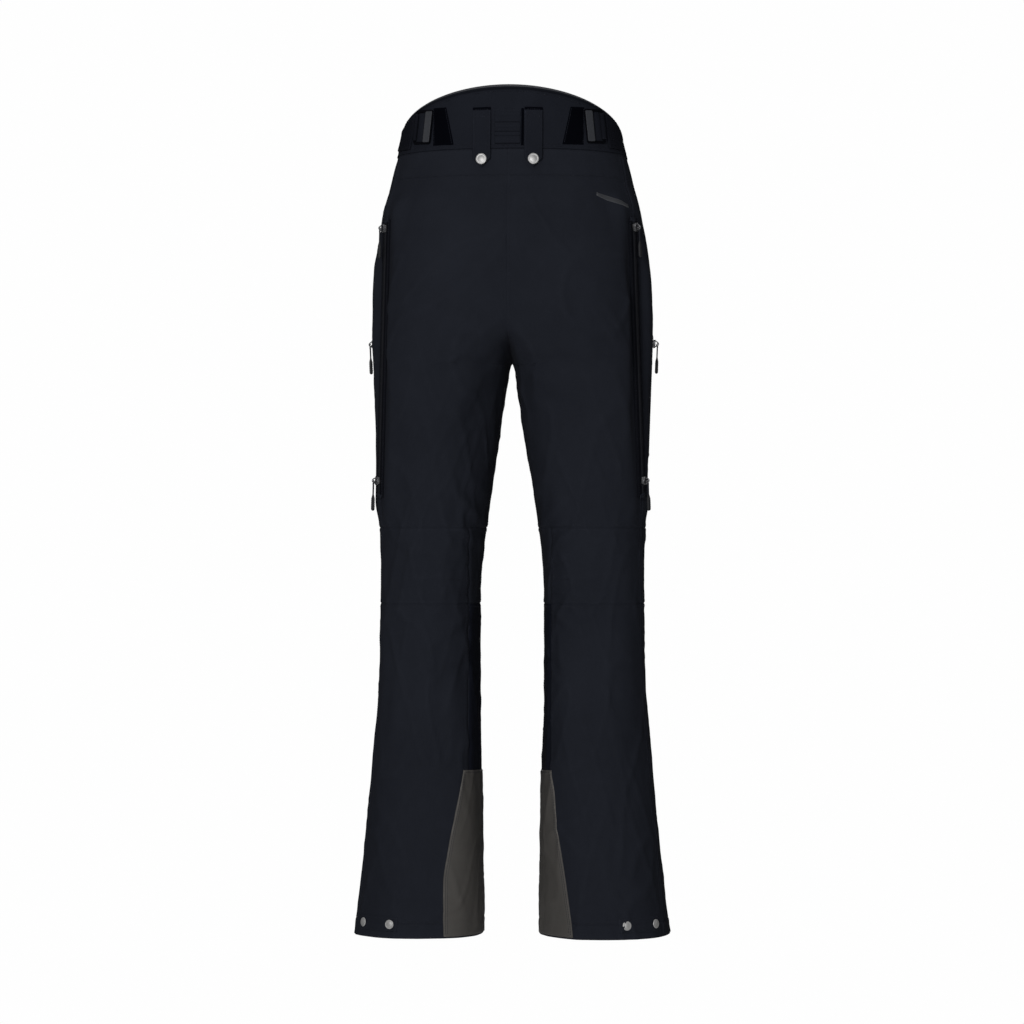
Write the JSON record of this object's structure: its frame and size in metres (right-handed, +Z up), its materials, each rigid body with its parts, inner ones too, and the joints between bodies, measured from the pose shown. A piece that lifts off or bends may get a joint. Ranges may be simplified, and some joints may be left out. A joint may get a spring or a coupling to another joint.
{
  "type": "ski pants",
  "caption": "Hardshell ski pants with raised back waist, strap adjusters, snap tabs, zipped vents and pockets, bending knees, snow cuffs and inner ankle guards.",
  "frame": {"origin": "middle of the waist opening, level with the top edge of the waistband a little in front of the sides", "axes": "+Z up out of the waist opening, -Y to the wearer's front, +X to the wearer's left"},
  "size_m": [0.4252, 0.2614, 1.1322],
  "materials": {
    "shell": "black matt waterproof woven shell",
    "lining": "thin black lining and gaiter cloth",
    "guard": "dark grey coated scuff cloth",
    "webbing": "black ribbed webbing and hook-and-loop tape",
    "zip_tape": "black coated zip tape with moulded coil",
    "buckle": "dark grey moulded plastic",
    "slider": "dark painted metal",
    "pull": "black moulded grip on cord"
  },
  "bodies": {
    "garment": {"back_panel_left": "shell", "back_panel_right": "shell", "front_panel_left": "shell", "front_panel_right": "shell", "knee_panel_left": "shell", "knee_panel_right": "shell", "hand_pocket_bag_left": "lining", "hand_pocket_bag_right": "lining", "back_yoke": "shell", "waistband_back": "shell", "waistband_front_left": "shell", "waistband_front_right": "shell", "fly_backing_flap": "lining", "hang_loop_back": "shell", "belt_loop_front_left": "shell", "belt_loop_front_right": "shell", "adjuster_anchor_left": "webbing", "adjuster_anchor_right": "webbing", "side_vent_zip_left": "zip_tape", "thigh_pocket_zip_left": "zip_tape", "hand_pocket_zip_left": "zip_tape", "side_vent_zip_right": "zip_tape", "thigh_pocket_zip_right": "zip_tape", "hand_pocket_zip_right": "zip_tape", "fly_zip": "zip_tape"},
    "shin_left": {"lower_leg_back_left": "shell", "lower_leg_front_left": "shell", "scuff_guard_left": "guard", "snow_cuff_left": "lining", "hem_snap_patch_left": "webbing"},
    "shin_right": {"lower_leg_back_right": "shell", "lower_leg_front_right": "shell", "scuff_guard_right": "guard", "snow_cuff_right": "lining", "hem_snap_patch_right": "webbing"},
    "suspender_tab_left": {"suspender_tab_left": "shell"},
    "suspender_tab_right": {"suspender_tab_right": "shell"},
    "adjuster_ring_left": {"adjuster_ring_left": "buckle"},
    "adjuster_ring_right": {"adjuster_ring_right": "buckle"},
    "adjuster_strap_left": {"adjuster_strap_left": "webbing"},
    "adjuster_strap_right": {"adjuster_strap_right": "webbing"},
    "waist_closure_tab": {"waist_closure_tab": "shell"},
    "vent_top_slider_left": {"vent_top_slider_left": "slider"},
    "vent_top_pull_left": {"vent_top_pull_left": "pull"},
    "vent_bottom_slider_left": {"vent_bottom_slider_left": "slider"},
    "vent_bottom_pull_left": {"vent_bottom_pull_left": "pull"},
    "thigh_slider_left": {"thigh_slider_left": "slider"},
    "thigh_pull_left": {"thigh_pull_left": "pull"},
    "hand_slider_left": {"hand_slider_left": "slider"},
    "hand_pull_left": {"hand_pull_left": "pull"},
    "vent_top_slider_right": {"vent_top_slider_right": "slider"},
    "vent_top_pull_right": {"vent_top_pull_right": "pull"},
    "vent_bottom_slider_right": {"vent_bottom_slider_right": "slider"},
    "vent_bottom_pull_right": {"vent_bottom_pull_right": "pull"},
    "thigh_slider_right": {"thigh_slider_right": "slider"},
    "thigh_pull_right": {"thigh_pull_right": "pull"},
    "hand_slider_right": {"hand_slider_right": "slider"},
    "hand_pull_right": {"hand_pull_right": "pull"},
    "fly_slider": {"fly_slider": "slider"},
    "fly_pull": {"fly_pull": "pull"}
  },
  "joints": [
    {"name": "knee_bend_left", "type": "hinge", "parent": "garment", "child": "shin_left", "pos_m": [0.111, 0, -0.564], "axis": [1, 0, 0], "range_deg": [0, 65], "deforming": ["knee_panel_left"]},
    {"name": "knee_bend_right", "type": "hinge", "parent": "garment", "child": "shin_right", "pos_m": [-0.111, 0, -0.564], "axis": [1, 0, 0], "range_deg": [0, 65], "deforming": ["knee_panel_right"]},
    {"name": "vent_top_slide_left", "type": "slide", "parent": "garment", "child": "vent_top_slider_left", "axis": [0.0324, -0.0689, -0.9971], "range_m": [0, 0.122]},
    {"name": "vent_top_pull_swing_left", "type": "hinge", "parent": "vent_top_slider_left", "child": "vent_top_pull_left", "pos_m": [0.1731, 0.06456, -0.11296], "axis": [0.4231, -0.9029, 0.0761], "range_deg": [0, 150]},
    {"name": "vent_top_slide_right", "type": "slide", "parent": "garment", "child": "vent_top_slider_right", "axis": [-0.0324, -0.0689, -0.9971], "range_m": [0, 0.122]},
    {"name": "vent_top_pull_swing_right", "type": "hinge", "parent": "vent_top_slider_right", "child": "vent_top_pull_right", "pos_m": [-0.1731, 0.06456, -0.11296], "axis": [0.4231, 0.9029, -0.0761], "range_deg": [0, 150]},
    {"name": "vent_bottom_slide_left", "type": "slide", "parent": "garment", "child": "vent_bottom_slider_left", "axis": [-0.0324, 0.0689, 0.9971], "range_m": [0, 0.158]},
    {"name": "vent_bottom_pull_swing_left", "type": "hinge", "parent": "vent_bottom_slider_left", "child": "vent_bottom_pull_left", "pos_m": [0.18404, 0.04126, -0.45006], "axis": [0.4231, -0.9029, 0.0761], "range_deg": [0, 150]},
    {"name": "vent_bottom_slide_right", "type": "slide", "parent": "garment", "child": "vent_bottom_slider_right", "axis": [0.0324, 0.0689, 0.9971], "range_m": [0, 0.158]},
    {"name": "vent_bottom_pull_swing_right", "type": "hinge", "parent": "vent_bottom_slider_right", "child": "vent_bottom_pull_right", "pos_m": [-0.18404, 0.04126, -0.45006], "axis": [0.4231, 0.9029, -0.0761], "range_deg": [0, 150]},
    {"name": "thigh_slide_left", "type": "slide", "parent": "garment", "child": "thigh_slider_left", "axis": [-0.0359, -0.0245, -0.9991], "range_m": [0, 0.14]},
    {"name": "thigh_pull_swing_left", "type": "hinge", "parent": "thigh_slider_left", "child": "thigh_pull_left", "pos_m": [0.19538, -0.03078, -0.26431], "axis": [-0.1885, -0.9816, 0.0309], "range_deg": [0, 150]},
    {"name": "thigh_slide_right", "type": "slide", "parent": "garment", "child": "thigh_slider_right", "axis": [0.0359, -0.0245, -0.9991], "range_m": [0, 0.14]},
    {"name": "thigh_pull_swing_right", "type": "hinge", "parent": "thigh_slider_right", "child": "thigh_pull_right", "pos_m": [-0.19538, -0.03078, -0.26431], "axis": [-0.1885, 0.9816, -0.0309], "range_deg": [0, 150]},
    {"name": "hand_slide_left", "type": "slide", "parent": "garment", "child": "hand_slider_left", "axis": [0.3201, 0.0433, -0.9464], "range_m": [0, 0.128]},
    {"name": "hand_pull_swing_left", "type": "hinge", "parent": "hand_slider_left", "child": "hand_pull_left", "pos_m": [0.11563, -0.09633, -0.06379], "axis": [-0.7665, -0.5752, -0.2856], "range_deg": [0, 150]},
    {"name": "hand_slide_right", "type": "slide", "parent": "garment", "child": "hand_slider_right", "axis": [-0.3201, 0.0433, -0.9464], "range_m": [0, 0.128]},
    {"name": "hand_pull_swing_right", "type": "hinge", "parent": "hand_slider_right", "child": "hand_pull_right", "pos_m": [-0.11563, -0.09633, -0.06379], "axis": [-0.7665, 0.5752, 0.2856], "range_deg": [0, 150]},
    {"name": "fly_slide", "type": "slide", "parent": "garment", "child": "fly_slider", "axis": [0, -0.0903, -0.9959], "range_m": [0, 0.098]},
    {"name": "fly_pull_swing", "type": "hinge", "parent": "fly_slider", "child": "fly_pull", "pos_m": [0, -0.12186, -0.06302], "axis": [-1, 0, 0], "range_deg": [0, 150]},
    {"name": "suspender_tab_lift_left", "type": "hinge", "parent": "garment", "child": "suspender_tab_left", "pos_m": [0.03448, 0.1035, 0.04354], "axis": [0.9928, -0.1183, -0.0161], "range_deg": [0, 120]},
    {"name": "adjuster_ring_swing_left", "type": "hinge", "parent": "garment", "child": "adjuster_ring_left", "pos_m": [0.1033, 0.08489, 0.02015], "axis": [-0.1015, -0.0709, 0.9923], "range_deg": [0, 25]},
    {"name": "adjuster_strap_peel_left", "type": "hinge", "parent": "adjuster_ring_left", "child": "adjuster_strap_left", "pos_m": [0.12942, 0.05998, 0.02047], "axis": [-0.1121, -0.0631, 0.9917], "range_deg": [0, 110]},
    {"name": "suspender_tab_lift_right", "type": "hinge", "parent": "garment", "child": "suspender_tab_right", "pos_m": [-0.03448, 0.1035, 0.04354], "axis": [0.9928, 0.1183, 0.0161], "range_deg": [0, 120]},
    {"name": "adjuster_ring_swing_right", "type": "hinge", "parent": "garment", "child": "adjuster_ring_right", "pos_m": [-0.1033, 0.08489, 0.02015], "axis": [-0.1015, 0.0709, -0.9923], "range_deg": [0, 25]},
    {"name": "adjuster_strap_peel_right", "type": "hinge", "parent": "adjuster_ring_right", "child": "adjuster_strap_right", "pos_m": [-0.12942, 0.05998, 0.02047], "axis": [-0.1121, 0.0631, -0.9917], "range_deg": [0, 110]},
    {"name": "waist_tab_open", "type": "hinge", "parent": "garment", "child": "waist_closure_tab", "pos_m": [0.04657, -0.10819, -0.03067], "axis": [0, 0, 1], "range_deg": [0, 120]}
  ]
}
